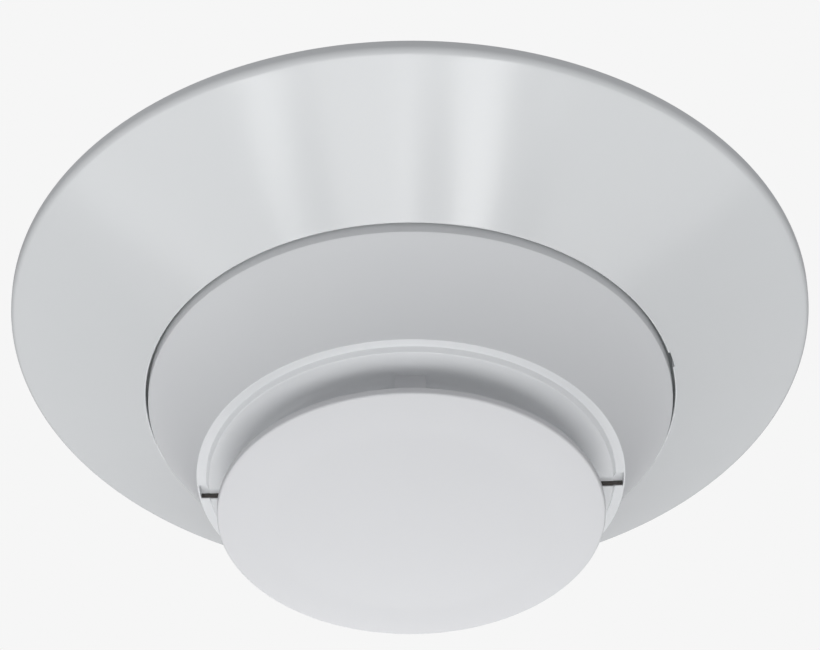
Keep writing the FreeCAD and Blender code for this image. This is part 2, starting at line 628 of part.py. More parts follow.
def back_housing():
    """The head's moulded back: plate, plinth with the dial windows, bayonet lugs and board bosses."""
    plate = joined([ring(0, COVER_BORE - SNAP_BEAD - HOUSING_GAP, HOUSING_DEPTH, PLATE_BACK),
                    ring(0, HOUSING_R, REBATE_FOOT, PLATE_BACK)])
    plinth = ring(0, PLINTH_R, PLINTH_TOP, HOUSING_DEPTH + 0.1)
    lugs = [arc_block(PLINTH_R - 0.3, LUG_R, LUG_TOP + BLADE_WALL, LUG_FOOT, a - LUG_HALF, a + LUG_HALF)
            for a in BAYONET_ANGLES]
    bosses = [rotated(rod(2.6, PLATE_BACK - 0.1, BOARD_TOP, BOARD_SCREW_PITCH_R), a)
              for a in BOARD_SCREW_ANGLES]
    whole = joined([plate, plinth] + lugs + bosses)
    cutters = [ring(0, PLINTH_R - PLINTH_WALL, PLINTH_TOP + HOUSING_WALL, PLATE_BACK + 0.5)]
    cutters += [rod(DIAL_WINDOW_R, PLINTH_TOP - 1, PLINTH_TOP + HOUSING_WALL + 1, x)
                for x in (-SWITCH_X, SWITCH_X)]
    cutters += [rotated(blade(BLADE_CLEAR), a) for a in BAYONET_ANGLES]
    cutters += [rotated(rod(BOARD_SCREW_R, HOUSING_DEPTH + 0.8, BOARD_TOP + 1, BOARD_SCREW_PITCH_R), a)
                for a in BOARD_SCREW_ANGLES]
    return whole.cut(cutters)


def circuit_board():
    """The round board, with its screw holes and lead holes."""
    board = ring(0, BOARD_R, BOARD_TOP, BOARD_FOOT)
    holes = [rotated(rod(BOARD_SCREW_R + 0.15, 0, 60, BOARD_SCREW_PITCH_R), a) for a in BOARD_SCREW_ANGLES]
    holes += [rod(LEAD_R + 0.1, 0, 60, side * LEAD_PITCH / 2) for side in (-1, 1)]
    return board.cut(holes)


def board_screw():
    whole = screw(BOARD_SCREW_HEAD_R, 1.3, BOARD_SCREW_R, BOARD_FOOT, HOUSING_DEPTH + 1.0, 0.5, 0.7)
    return moved(whole, BOARD_SCREW_PITCH_R)


def thermistor_tower():
    """The tube that holds the thermistor's leads clear of the floor."""
    return ring(TOWER_BORE, TOWER_R, BOARD_FOOT, FLOOR_DEPTH + 0.8)


def thermistor_bead():
    """The sensing bead: a drop of epoxy with its point towards the leads."""
    bead = Part.makeSphere(THERMISTOR_R, V(0, 0, -THERMISTOR_DEPTH))
    neck = Part.makeCone(THERMISTOR_R * 0.45, THERMISTOR_R * 0.8, 1.2, V(0, 0, -THERMISTOR_DEPTH + 1.7), DOWN)
    return joined([bead, neck]).cut(lead_rods())


def lead_rods():
    top = BOARD_TOP - 0.5
    rods = [rod(LEAD_R, top, THERMISTOR_DEPTH - 0.6, side * LEAD_PITCH / 2) for side in (-1, 1)]
    return rods


def led():
    """A round-topped indicator diode under the board, above the right-hand light pipe."""
    x = (SLOT_START + FLOOR_R) / 2
    y = (SLOT_BEND + SLOT_FAR - PIPE_BLADE) / 2
    flange = rod(LED_R + 0.3, BOARD_FOOT, BOARD_FOOT + 0.8, x, y)
    body = rod(LED_R, BOARD_FOOT + 0.7, BOARD_FOOT + LED_HEIGHT, x, y)
    dome = Part.makeSphere(LED_R, V(x, y, -BOARD_FOOT - LED_HEIGHT))
    return joined([flange, body, dome])


def light_pipe_stem(clear=0.0):
    """The upright post of the right-hand light pipe; clear widens it all round to cut its slit."""
    top = BOARD_FOOT + LED_HEIGHT + LED_R + 0.4
    return block(SLOT_START + PIPE_SHORT - clear, FLOOR_R + clear, SLOT_BEND - PIPE_BLADE - clear,
                 SLOT_FAR + clear - PIPE_CLEAR, top, INNER_ROOF + PIPE_BLADE + clear)


def light_pipe():
    """The right-hand pipe: it takes the diode's light down to two thin blades along the slot's far walls."""
    inner = block(SLOT_START + PIPE_SHORT, FLOOR_R, SLOT_BEND - PIPE_BLADE, SLOT_BEND - PIPE_CLEAR,
                  INNER_ROOF + PIPE_CLEAR, FLOOR_DEPTH - PIPE_SHORT)
    outer = block(FLOOR_R - 1, BAND_R, SLOT_FAR - PIPE_BLADE, SLOT_FAR - PIPE_CLEAR,
                  SLOT_ROOF + PIPE_CLEAR, BAND_DEPTH - PIPE_SHORT)
    reach = rod(SLOT_END - PIPE_SHORT, SLOT_ROOF, BAND_DEPTH)
    return joined([light_pipe_stem(), inner, outer.common(reach)])


def address_switch(side, stopped):
    """A square rotary code switch on the board's back; stopped adds the break-off stop for its dial."""
    half = SWITCH_SIZE / 2
    x = side * SWITCH_X
    face = BOARD_TOP - SWITCH_HEIGHT
    well_r = DIAL_R + DIAL_POINTER + 0.3
    body = block(x - half, x + half, -half, half, face, BOARD_TOP)
    body = body.cut([rod(well_r, face - 1, face + 0.4, x),
                     rod(DIAL_STEM_R + DIAL_FIT, face, BOARD_TOP - 1, x)])
    if not stopped:
        return body
    start = 90.0 + DIAL_STOP_CLEAR
    end = 450.0 - DIAL_TRAVEL - DIAL_STOP_CLEAR
    stop = arc_block(DIAL_R + 0.3, well_r + 0.2, face - 0.6, face + 0.5, start, end)
    return joined([body, moved(stop, x)])


def address_dial(side):
    """A dial with a screwdriver slot and a pointer; its stem turns in the switch."""
    x = side * SWITCH_X
    face = BOARD_TOP - SWITCH_HEIGHT
    foot = face + 0.4 - DIAL_GAP
    disc = rod(DIAL_R, DIAL_TOP, foot, x)
    rim = [e for e in disc.Edges if abs(e.CenterOfMass.z + DIAL_TOP) < 1e-6]
    disc = disc.makeChamfer(0.25, rim)
    pointer = block(x - 0.35, x + 0.35, DIAL_R - 0.4, DIAL_R + DIAL_POINTER, foot - 0.7, foot)
    stem = rod(DIAL_STEM_R, foot - 0.1, foot + DIAL_STEM, x)
    cutter = block(x - 0.35, x + 0.35, -DIAL_R * 0.75, DIAL_R * 0.75, DIAL_TOP - 1, DIAL_TOP + 0.6)
    return joined([disc, pointer, stem]).cut(cutter)


def address_label():
    """The blank label on the plinth, with a window over each dial."""
    label = ring(0, LABEL_R, PLINTH_TOP - LABEL_WALL, PLINTH_TOP)
    return label.cut([rod(DIAL_WINDOW_R + 0.3, 0, HOUSING_DEPTH, x) for x in (-SWITCH_X, SWITCH_X)])


def chip(width, depth_y, height, x, y, angle=0.0):
    """A rectangular component under the board, turned about its own middle."""
    body = block(x - width / 2, x + width / 2, y - depth_y / 2, y + depth_y / 2,
                 BOARD_FOOT, BOARD_FOOT + height)
    return rotated(body, angle, V(x, y, 0))


def microcontroller():
    """The controller chip with its rows of legs."""
    x, y, size = 0.0, 17.0, 7.0
    body = moved(chip(size, size, 1.1, x, y), z=-0.15)
    legs = []
    for side in range(4):
        for i in range(8):
            leg = block(x + size / 2 - 0.1, x + size / 2 + 0.9, y - 2.95 + i * 0.8, y - 2.65 + i * 0.8,
                        BOARD_FOOT, BOARD_FOOT + 0.4)
            legs.append(rotated(leg, side * 90.0, V(x, y, 0)))
    return joined([body] + legs)


def reed_switch():
    """The magnet-operated test switch: a glass capsule lying under the board."""
    capsule = Part.makeCylinder(1.1, 12.0, V(-6.0, -27.0, -BOARD_FOOT - 1.5), V(1, 0, 0))
    return capsule.makeFillet(0.8, capsule.Edges)


def reed_leads():
    """The two wires that hold the capsule, each bent up to the board."""
    wires = []
    for side in (-1, 1):
        run = Part.makeCylinder(0.32, 2.6, V(side * 6.0, -27.0, -BOARD_FOOT - 1.5), V(side, 0, 0))
        rise = Part.makeCylinder(0.25, 1.5, V(side * 8.2, -27.0, -BOARD_FOOT - 1.5), AXIS)
        wires.append(joined([run, rise]))
    return wires


def capacitors():
    """Two round electrolytic cans under the board."""
    cans = []
    for x, y in ((-18.0, 12.0), (18.0, 12.0)):
        can = rod(3.1, BOARD_FOOT, BOARD_FOOT + 7.5, x, y)
        rim = [e for e in can.Edges if abs(e.CenterOfMass.z + BOARD_FOOT + 7.5) < 1e-6]
        cans.append(can.makeFillet(0.5, rim))
    return cans


def chip_parts():
    """The small resistors and capacitors spread under the board."""
    places = [(-9, 8, 0), (-12, -6, 90), (-5, -12, 0), (6, -13, 0), (12, -6, 90), (10, 6, 0),
              (-24, -8, 90), (24, -8, 90), (-15, -20, 45), (15, -20, -45), (0, 27, 0), (-8, 28, 0), (8, 28, 0)]
    return [chip(2.0, 1.25, 0.6, x, y, a) for x, y, a in places]


# ---------------------------------------------------------------- assembly
def save(name, shapes):
    """Writes one node's solids, after checking that each one is whole."""
    shapes = shapes if isinstance(shapes, list) else [shapes]
    solids = [s for shape in shapes for s in shape.Solids]
    for solid in solids:
        if not solid.isValid() or solid.Volume <= 0:
            raise ValueError(name + " has a bad solid")
    whole = solids[0] if len(solids) == 1 else Part.makeCompound(solids)
    whole.exportStep("parts/" + name + ".step")
    print(name, len(solids), round(sum(s.Volume for s in solids), 1))


def main():
    os.makedirs("parts", exist_ok=True)
    save("trim_flange", trim_flange())
    save("mounting_base", mounting_base())
    for i, angle in enumerate(BAYONET_ANGLES, 1):
        save("contact_spring_%d" % i, rotated(contact_spring(), angle))
        save("terminal_clamp_%d" % i, rotated(terminal_clamp(), angle))
        save("terminal_screw_%d" % i, rotated(terminal_screw(), angle))
        save("contact_blade_%d" % i, rotated(blade(), angle))
    save("tamper_lever", tamper_lever())
    save("head_cover", head_cover())
    save("cap_disc", cap_disc())
    save("thermal_cage", thermal_cage())
    save("back_housing", back_housing())
    save("circuit_board", circuit_board())
    save("board_screws", [rotated(board_screw(), a) for a in BOARD_SCREW_ANGLES])
    save("thermistor_tower", thermistor_tower())
    save("thermistor_bead", thermistor_bead())
    save("thermistor_leads", lead_rods())
    for name, diode, pipe in zip(("right", "left"), both_sides(led()), both_sides(light_pipe())):
        save("indicator_led_" + name, diode)
        save("light_pipe_" + name, pipe)
    for side, name in ((-1, "tens"), (1, "ones")):
        save(name + "_switch_body", address_switch(side, name == "tens"))
        save(name + "_dial", address_dial(side))
    save("address_label", address_label())
    save("microcontroller", microcontroller())
    save("reed_switch", reed_switch())
    save("reed_switch_leads", reed_leads())
    save("capacitors", capacitors())
    save("chip_parts", chip_parts())
    save("surge_suppressor", chip(7.0, 4.0, 2.4, -20.0, -14.0, 30.0))
    save("crystal", chip(5.0, 3.2, 1.2, 9.0, 17.5, 90.0))
    save("choke", chip(6.0, 6.0, 3.0, 20.0, -15.0, 45.0))


main()
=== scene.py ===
# %% [markdown]
# # A heat detector on a ceiling
#
# This notebook dresses a plug-in heat detector for a render. The shapes that hold the mechanism
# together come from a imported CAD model, the frame. It is loaded first, and everything else takes its
# size and place from it. The origin is on the ceiling, +Z points up into the ceiling and the detector
# hangs below it, so almost every height here is negative.

# %% Load the frame
import json
import math
import bmesh
import bpy
from mathutils import Matrix, Vector


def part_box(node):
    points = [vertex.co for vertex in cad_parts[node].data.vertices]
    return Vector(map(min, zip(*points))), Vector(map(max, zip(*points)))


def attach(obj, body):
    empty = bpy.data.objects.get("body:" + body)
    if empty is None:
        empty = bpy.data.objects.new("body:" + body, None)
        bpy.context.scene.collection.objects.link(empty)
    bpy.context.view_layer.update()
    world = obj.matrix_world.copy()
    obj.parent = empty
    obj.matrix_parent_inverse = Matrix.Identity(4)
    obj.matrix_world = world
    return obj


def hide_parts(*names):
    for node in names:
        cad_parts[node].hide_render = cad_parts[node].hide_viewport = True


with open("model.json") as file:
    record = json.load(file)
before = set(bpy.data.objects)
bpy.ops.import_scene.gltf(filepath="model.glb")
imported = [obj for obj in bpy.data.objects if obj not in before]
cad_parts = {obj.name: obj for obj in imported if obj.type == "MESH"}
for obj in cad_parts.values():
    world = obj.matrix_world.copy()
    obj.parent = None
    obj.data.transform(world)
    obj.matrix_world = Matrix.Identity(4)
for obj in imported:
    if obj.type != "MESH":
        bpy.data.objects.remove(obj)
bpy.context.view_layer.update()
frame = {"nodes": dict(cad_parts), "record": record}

MM = 0.001

# %% [markdown]
# ## Sizes
#
# The visible shells are turned parts, so each one is described by a few radii and depths. The outer
# ones are read from the frame's boxes, which keeps them in step with the CAD model. The small ones, such
# as a rounding or the width of a slot, are set here in millimetres.

# %% Sizes from the frame
def radius(node):
    """A turned node's outer radius in millimetres."""
    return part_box(node)[1].y / MM

def top(node):
    """The height of a node's upper end in millimetres."""
    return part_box(node)[1].z / MM

def foot(node):
    """The height of a node's lower end in millimetres."""
    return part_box(node)[0].z / MM

FLANGE_R = radius("trim_flange")
HEAD_R = radius("head_cover")
HEAD_TOP = top("head_cover")
CURB_FOOT = foot("head_cover")
CAP_R = radius("cap_disc")
CAP_FOOT = foot("cap_disc")
CAGE_FOOT = foot("thermal_cage")
print("flange", round(FLANGE_R, 2), "head", round(HEAD_R, 2), "cap", round(CAP_R, 2))

# %% Small sizes, in millimetres
SEAM_GAP = 0.55            # gap between the head and the flange's lip
FLANGE_RIM = 2.3
FLANGE_RIM_ROUND = 1.8
FLANGE_HOLLOW = 0.48       # how far the flange bows in from a straight cone
FLANGE_WALL = 1.9
FLANGE_DEPTH = 20.0        # where the lip's sharp corner would be, before it is rounded
FLANGE_LIP_ROUND = 0.2
FLANGE_LIP_HEIGHT = 5.2
FLANGE_LIP_WALL = 1.8
FLANGE_RIBS = 12
HEAD_RIM_FOOT = 21.4
BAND_R = 40.35             # the flat band round the air inlet
BAND_WIDTH = 1.8
BAND_DEPTH = 38.8
STEP_HEIGHT = 1.1
STEP_DRAFT = 0.5
FLARE_HOLLOW = 0.8
COVER_WALL = 1.8
FLOOR_WALL = 1.6
CURB_R = 31.0
CURB_WALL = 1.4
CURB_FILLET = 2.0
PILLAR_INSET = 0.3
PILLAR_WALL = 1.3
PILLAR_WIDTH = 5.6
PILLARS = 4
CAP_EDGE = 1.45
CAP_WALL = 2.15
CAP_SHOULDER_R = 26.5
CAP_DOME = 1.8
SLOT_SIDE = -0.3
SLOT_WIDTH = 3.9
SLOT_STEP = 1.25
SLOT_CUT = 1.0
SLOT_START = 33.4
SLOT_END_WALL = 0.3
NOTCH_ANGLE = -13.7
NOTCH_WIDTH = 4.3
NOTCH_CUT = 0.4

LIP_R = HEAD_R + SEAM_GAP
FLOOR_DEPTH = BAND_DEPTH + STEP_HEIGHT
FLOOR_R = BAND_R - BAND_WIDTH - STEP_DRAFT
CAP_BACK = -CAGE_FOOT
CAP_FACE = CAP_BACK + CAP_EDGE
print("inlet gap", round(CAP_BACK - FLOOR_DEPTH, 2), "mm")

# %% [markdown]
# ## Camera, floor and light
#
# The detector is seen from below and to one side, as by someone standing in the room, so the camera is
# placed by its distance and by how far its view tips up from the ceiling's plane. A long lens keeps the
# perspective flat. Three narrow lamps lay the long highlights over the flange, and a card between them
# keeps the ground between the highlights from going dark. Wide cards fill in from below, from the sides,
# from behind and from above. The floor is pale, large and far below, for the views from above. All of
# these are set up at the end, in the studio section.

# %% Camera
VIEW_TILT = math.radians(41.195)       # between the line of sight and the ceiling
VIEW_ROLL = math.radians(-0.3865)
VIEW_DISTANCE = 0.725119               # from the origin, in metres
LENS_MM = 163.073
SENSOR_MM = 36.0
NEAR_CLIP = 0.05

camera_data = bpy.data.cameras.new("camera")
camera_data.lens = LENS_MM
camera_data.sensor_width = SENSOR_MM
camera_data.clip_start = NEAR_CLIP
camera = bpy.data.objects.new("camera", camera_data)
bpy.context.scene.collection.objects.link(camera)
forward = Vector((0, math.cos(VIEW_TILT), math.sin(VIEW_TILT)))
upward = Vector((0, -math.sin(VIEW_TILT), math.cos(VIEW_TILT)))
facing = Matrix((Vector((1, 0, 0)), upward, -forward)).transposed().to_4x4()
camera.matrix_world = (Matrix.Translation(-forward * VIEW_DISTANCE) @ facing
                       @ Matrix.Rotation(VIEW_ROLL, 4, "Z"))
bpy.context.scene.camera = camera
print("camera at", [round(v, 3) for v in camera.matrix_world.translation])

# %% [markdown]
# ## Turned shapes
#
# A lathe makes these shapes in one sweep: draw half of the section, then spin it round the axis. The
# section is a list of corners. A corner may be rounded, and the edge that leaves it may bow into an arc,
# which is how the slightly hollow flange and flare get their soft shading. The same could be done with
# a Screw modifier on a curve, but building the rings in bmesh gives even quads whose density is known.

# %% Section outlines
ARC_STEP = math.radians(5)
ARC_LENGTH = 1.2           # longest straight piece of an arc, in millimetres
NOTHING = 1e-9             # below this an arc is taken as straight

def sideways(chord, bow):
    """From the middle of a chord to the middle of its arc; a falling edge bends inwards."""
    return Vector((chord.y, -chord.x)).normalized() * bow

def arc_points(start, middle, end):
    """Points along the arc through three points, ends included."""
    a, b = start - middle, end - middle
    cross = 2 * (a.x * b.y - a.y * b.x)
    if abs(cross) < NOTHING:
        return [start, end]
    centre = middle + Vector((b.y * a.length_squared - a.y * b.length_squared,
                              a.x * b.length_squared - b.x * a.length_squared)) / cross
    first, last = start - centre, end - centre
    sweep = math.atan2(first.x * last.y - first.y * last.x, first.dot(last))
    count = max(2, math.ceil(abs(sweep) / ARC_STEP), math.ceil(abs(sweep) * first.length / ARC_LENGTH))
    return [centre + Matrix.Rotation(sweep * i / count, 2) @ first for i in range(count + 1)]

def section(corners):
    """Turns corners (radius, depth, rounding, bow) into the outline's points, with z upwards."""
    corners = [tuple(c) + (0,) * (4 - len(c)) for c in corners]
    spots = [Vector((c[0], -c[1])) for c in corners]
    count = len(corners)
    entries, exits = [], []
    for i, corner in enumerate(corners):
        last, ahead = spots[i] - spots[i - 1], spots[(i + 1) % count] - spots[i]
        if not corner[2]:
            entries.append([spots[i]])
            exits.append(spots[i])
            continue
        back = (sideways(last, corners[i - 1][3]) * 4 - last).normalized()
        on = (ahead + sideways(ahead, corner[3]) * 4).normalized()
        half = back.angle(on) / 2
        middle = spots[i] + (back + on).normalized() * corner[2] * (1 / math.sin(half) - 1)
        cut = corner[2] / math.tan(half)
        entries.append(arc_points(spots[i] + back * cut, middle, spots[i] + on * cut))
        exits.append(entries[-1][-1])
    points = []
    for i, corner in enumerate(corners):
        points += entries[i]
        if corner[3]:
            a, b = exits[i], entries[(i + 1) % count][0]
            points += arc_points(a, (a + b) / 2 + sideways(b - a, corner[3]), b)[1:-1]
    return points

print("a rounded square has", len(section([(1, 0, .2), (2, 0, .2), (2, 1, .2), (1, 1, .2)])), "points")

# %% Spin a section round the axis
SPOKES = 384
SHARP = math.radians(28)
ON_AXIS = 1e-6             # a corner nearer the axis than this is one point, not a ring

def finish_mesh(piece):
    """Smooth shading that stays crisp at real edges."""
    piece.data.shade_smooth()
    piece.data.set_sharp_from_angle(angle=SHARP)
    return piece

def new_piece(name, shape):
    """Makes an object from a bmesh and links it to the scene."""
    bmesh.ops.recalc_face_normals(shape, faces=shape.faces)
    mesh = bpy.data.meshes.new(name)
    shape.to_mesh(mesh)
    shape.free()
    piece = bpy.data.objects.new(name, mesh)
    bpy.context.scene.collection.objects.link(piece)
    return piece

def turned(name, points, spokes=SPOKES):
    """A closed ring, or a solid of revolution where the section touches the axis."""
    shape = bmesh.new()
    rings = []
    for p in points:
        if p.x < ON_AXIS:
            rings.append([shape.verts.new((0, 0, p.y * MM))] * spokes)
            continue
        angles = [math.tau * i / spokes for i in range(spokes)]
        rings.append([shape.verts.new((p.x * math.cos(a) * MM, p.x * math.sin(a) * MM, p.y * MM))
                      for a in angles])
    for here, there in zip(rings, rings[1:] + rings[:1]):
        for i in range(spokes):
            j = (i + 1) % spokes
            corners = list(dict.fromkeys((here[i], here[j], there[j], there[i])))
            if len(corners) > 2:
                shape.faces.new(corners)
    return new_piece(name, shape)

# %% Cut and join with solid blocks
def box_piece(name, x, y, depth, angle=0.0):
    """A plain block between pairs of limits in millimetres, turned about the axis."""
    shape = bmesh.new()
    bmesh.ops.create_cube(shape, size=1)
    size = Vector((x[1] - x[0], y[1] - y[0], depth[1] - depth[0])) * MM
    middle = Vector((x[0] + x[1], y[0] + y[1], -depth[0] - depth[1])) * MM / 2
    turn = Matrix.Rotation(math.radians(angle), 4, "Z")
    shape.transform(turn @ Matrix.Translation(middle) @ Matrix.Diagonal((*size, 1)))
    return new_piece(name, shape)

def boolean(piece, tools, operation):
    """Applies one exact boolean for each tool, then deletes the tools."""
    for tool in tools:
        change = piece.modifiers.new("boolean", "BOOLEAN")
        change.operation = operation
        change.object = tool
        change.solver = "EXACT"
        bake(piece)
        bpy.data.objects.remove(tool)
    return piece

def bake(piece):
    """Replaces the piece's mesh with the result of its modifiers."""
    depsgraph = bpy.context.evaluated_depsgraph_get()
    made = bpy.data.meshes.new_from_object(piece.evaluated_get(depsgraph))
    piece.modifiers.clear()
    old, piece.data = piece.data, made
    bpy.data.meshes.remove(old)

# %% [markdown]
# ## Finishes
#
# Nearly everything is moulded plastic, so the differences between the parts are small and matter: the
# flange is polished, the cover a little less, and the cap is satin. Colours are written as sRGB hex, the
# way a colour card gives them, and one function turns them into the linear values that Blender mixes.

# %% Colour and node helpers
MIX_FACTOR, MIX_A, MIX_B, MIX_RESULT = 0, 6, 7, 2      # the colour sockets of a Mix node

def linear(hex_colour):
    """An sRGB hex colour as linear RGBA."""
    parts = [int(hex_colour[i:i + 2], 16) / 255 for i in (0, 2, 4)]
    return (*[c / 12.92 if c <= 0.04045 else ((c + 0.055) / 1.055) ** 2.4 for c in parts], 1)

def add(tree, kind, inputs=None, **settings):
    """Adds one node with its settings; inputs holds values, or sockets to link."""
    made = tree.nodes.new(kind)
    for name, value in settings.items():
        setattr(made, name, value)
    for socket, value in (inputs or {}).items():
        if isinstance(value, bpy.types.NodeSocket):
            tree.links.new(value, made.inputs[socket])
        else:
            made.inputs[socket].default_value = value
    return made

def blank(name):
    """A material with no nodes yet, its tree and the coordinates that patterns are laid on."""
    material = bpy.data.materials.new(name)
    material.use_nodes = True
    tree = material.node_tree
    tree.nodes.clear()
    return material, tree, add(tree, "ShaderNodeTexCoord").outputs["Object"]

def across(millimetres):
    """The texture scale that makes one feature about this wide, on coordinates in metres."""
    return 1 / (millimetres * MM)

def shaded(material, tree, inputs):
    """Ends a material with one Principled shader."""
    shader = add(tree, "ShaderNodeBsdfPrincipled", inputs)
    add(tree, "ShaderNodeOutputMaterial", {"Surface": shader.outputs["BSDF"]})
    return material

print("white is", [round(c, 3) for c in linear("ffffff")])

# %% [markdown]
# Moulded plastic copies its steel mould. A polished mould leaves a glossy face with a long faint
# waviness, because the wall shrinks unevenly as it cools, and a spark-eroded mould leaves a fine matt
# grain. So each plastic has three layers of noise: a wide one that barely changes the colour, a middle
# one for the waviness, and a fine one for the grain, which drives roughness and bump together. A real
# spark-eroded grain is about 0.05 mm across, too fine to show here, so it is drawn coarser.

# %% Moulded plastic
PLASTIC_IOR = 1.53         # ABS and its blends
GRAIN_MM = 0.3
GRAIN_DEPTH_MM = 0.02
WAVE_MM = 16.0
WAVE_DEPTH_MM = 0.2
TONE_MM = 25.0
ROUGHNESS_SPREAD = 0.15    # how far the grain takes the roughness up and down

def moulded(name, colour, shade, roughness, grain=0.0, wave=0.0):
    """Injection-moulded plastic in two close tones, with a fine grain and a slow waviness."""
    material, tree, place = blank(name)
    wide = add(tree, "ShaderNodeTexNoise", {"Vector": place, "Scale": across(TONE_MM), "Detail": 2})
    tone = add(tree, "ShaderNodeMix", {MIX_FACTOR: wide.outputs["Fac"], MIX_A: linear(colour),
                                       MIX_B: linear(shade)}, data_type="RGBA")
    fine = add(tree, "ShaderNodeTexNoise", {"Vector": place, "Scale": across(GRAIN_MM), "Detail": 3})
    rough = add(tree, "ShaderNodeMapRange", {"Value": fine.outputs["Fac"],
                                             "To Min": roughness * (1 - ROUGHNESS_SPREAD),
                                             "To Max": roughness * (1 + ROUGHNESS_SPREAD)})
    slow = add(tree, "ShaderNodeTexNoise", {"Vector": place, "Scale": across(WAVE_MM), "Detail": 1})
    waves = add(tree, "ShaderNodeBump", {"Height": slow.outputs["Fac"], "Strength": wave,
                                         "Distance": WAVE_DEPTH_MM * MM})
    bump = add(tree, "ShaderNodeBump", {"Height": fine.outputs["Fac"], "Strength": grain,
                                        "Distance": GRAIN_DEPTH_MM * MM,
                                        "Normal": waves.outputs["Normal"]})
    return shaded(material, tree, {
        "Base Color": tone.outputs[MIX_RESULT], "Roughness": rough.outputs["Result"],
        "IOR": PLASTIC_IOR, "Normal": bump.outputs["Normal"]})

polished_abs = moulded("polished_white_abs", "e3e5e6", "e1e4e5", 0.17, grain=0.04, wave=0.05)
glossy_abs = moulded("glossy_white_abs", "e9ebec", "e7e9eb", 0.30, grain=0.05, wave=0.04)
satin_abs = moulded("satin_white_abs", "dcdddf", "dadbdd", 0.52, grain=0.15)
eroded_abs = moulded("spark_eroded_white_abs", "dadcdb", "d5d8d7", 0.5, grain=0.3, wave=0.03)
white_pc = moulded("moulded_white_pc_abs", "d6d8d8", "d1d4d4", 0.42, grain=0.2, wave=0.04)
black_pbt = moulded("black_glass_filled_pbt", "20242a", "2a2e33", 0.5, grain=0.5)
ivory_pom = moulded("ivory_acetal", "f0ede2", "ebe7da", 0.32, grain=0.15)
mould_resin = moulded("black_epoxy_moulding", "1d1e20", "262729", 0.55, grain=0.6)
print("moulded plastics:", sum("abs" in m.name for m in bpy.data.materials), "white ones")

# %% [markdown]
# The metal parts are pressed from strip. Rolling leaves fine lines along the strip, so their roughness
# comes from noise that is stretched a long way in one direction, and plating adds a slow cloudiness.
# A metal gets its colour from its base colour and keeps the default IOR.

# %% Rolled and plated metal
LINE_MM = 0.08
LINE_STRETCH = 30
CLOUD_MM = 3.0

def rolled(name, colour, stain, roughness):
    """Rolled strip: fine lines along X and a cloudy second tone."""
    material, tree, place = blank(name)
    along = add(tree, "ShaderNodeMapping", {"Vector": place, "Scale": (1 / LINE_STRETCH, 1, 1)})
    lines = add(tree, "ShaderNodeTexNoise", {"Vector": along.outputs["Vector"],
                                             "Scale": across(LINE_MM), "Detail": 2})
    clouds = add(tree, "ShaderNodeTexNoise", {"Vector": place, "Scale": across(CLOUD_MM), "Detail": 4})
    tone = add(tree, "ShaderNodeMix", {MIX_FACTOR: clouds.outputs["Fac"], MIX_A: linear(colour),
                                       MIX_B: linear(stain)}, data_type="RGBA")
    rough = add(tree, "ShaderNodeMapRange", {"Value": lines.outputs["Fac"], "To Min": roughness * 0.7,
                                             "To Max": roughness * 1.3})
    bump = add(tree, "ShaderNodeBump", {"Height": lines.outputs["Fac"], "Strength": 0.2,
                                        "Distance": 0.01 * MM})
    return shaded(material, tree, {
        "Base Color": tone.outputs[MIX_RESULT], "Metallic": 1.0, "Roughness": rough.outputs["Result"],
        "Normal": bump.outputs["Normal"]})

bronze = rolled("rolled_phosphor_bronze", "d0a566", "c29455", 0.28)
zinc = rolled("zinc_plated_steel", "c3c6c8", "b3b7bb", 0.32)
tinned = rolled("tinned_copper_wire", "c8cacb", "bcbfc1", 0.25)
drawn_can = rolled("drawn_aluminium_can", "c0c3c6", "b6babd", 0.3)
print("metals:", bronze.name, zinc.name, tinned.name, drawn_can.name)

# %% [markdown]
# The small electronic parts each have one finish of their own: a lacquered board with copper tracks
# under the green, dipped epoxy on the thermistor bead, smoked acrylic for the light pipes, drawn glass
# for the reed switch, sintered ferrite, fired ceramic, and the smooth face of a paper label.

# %% Board lacquer
TRACK_MM = 1.6

def lacquered_board():
    """Green solder mask: a fine cell pattern stands in for the copper tracks beneath it."""
    material, tree, place = blank("green_solder_mask")
    cells = add(tree, "ShaderNodeTexVoronoi", {"Vector": place, "Scale": across(TRACK_MM)},
                distance="CHEBYCHEV", feature="DISTANCE_TO_EDGE")
    track = add(tree, "ShaderNodeMapRange", {"Value": cells.outputs["Distance"], "From Min": 0.04,
                                             "From Max": 0.09})
    tone = add(tree, "ShaderNodeMix", {MIX_FACTOR: track.outputs["Result"], MIX_A: linear("3d8049"),
                                       MIX_B: linear("2b6537")}, data_type="RGBA")
    bump = add(tree, "ShaderNodeBump", {"Height": track.outputs["Result"], "Strength": 0.3,
                                        "Distance": 0.03 * MM}, invert=True)
    return shaded(material, tree, {"Base Color": tone.outputs[MIX_RESULT], "Roughness": 0.28,
                                   "IOR": 1.55, "Normal": bump.outputs["Normal"]})

solder_mask = lacquered_board()

# %% Small finishes
def speckled(name, colour, fleck, size, roughness, bump_mm=0.01, **shader):
    """Two tones in grains of one size, with a matching bump."""
    material, tree, place = blank(name)
    grains = add(tree, "ShaderNodeTexNoise", {"Vector": place, "Scale": across(size), "Detail": 3})
    tone = add(tree, "ShaderNodeMix", {MIX_FACTOR: grains.outputs["Fac"], MIX_A: linear(colour),
                                       MIX_B: linear(fleck)}, data_type="RGBA")
    bump = add(tree, "ShaderNodeBump", {"Height": grains.outputs["Fac"], "Strength": 0.4,
                                        "Distance": bump_mm * MM})
    return shaded(material, tree, {"Base Color": tone.outputs[MIX_RESULT], "Roughness": roughness,
                                   "Normal": bump.outputs["Normal"], **shader})

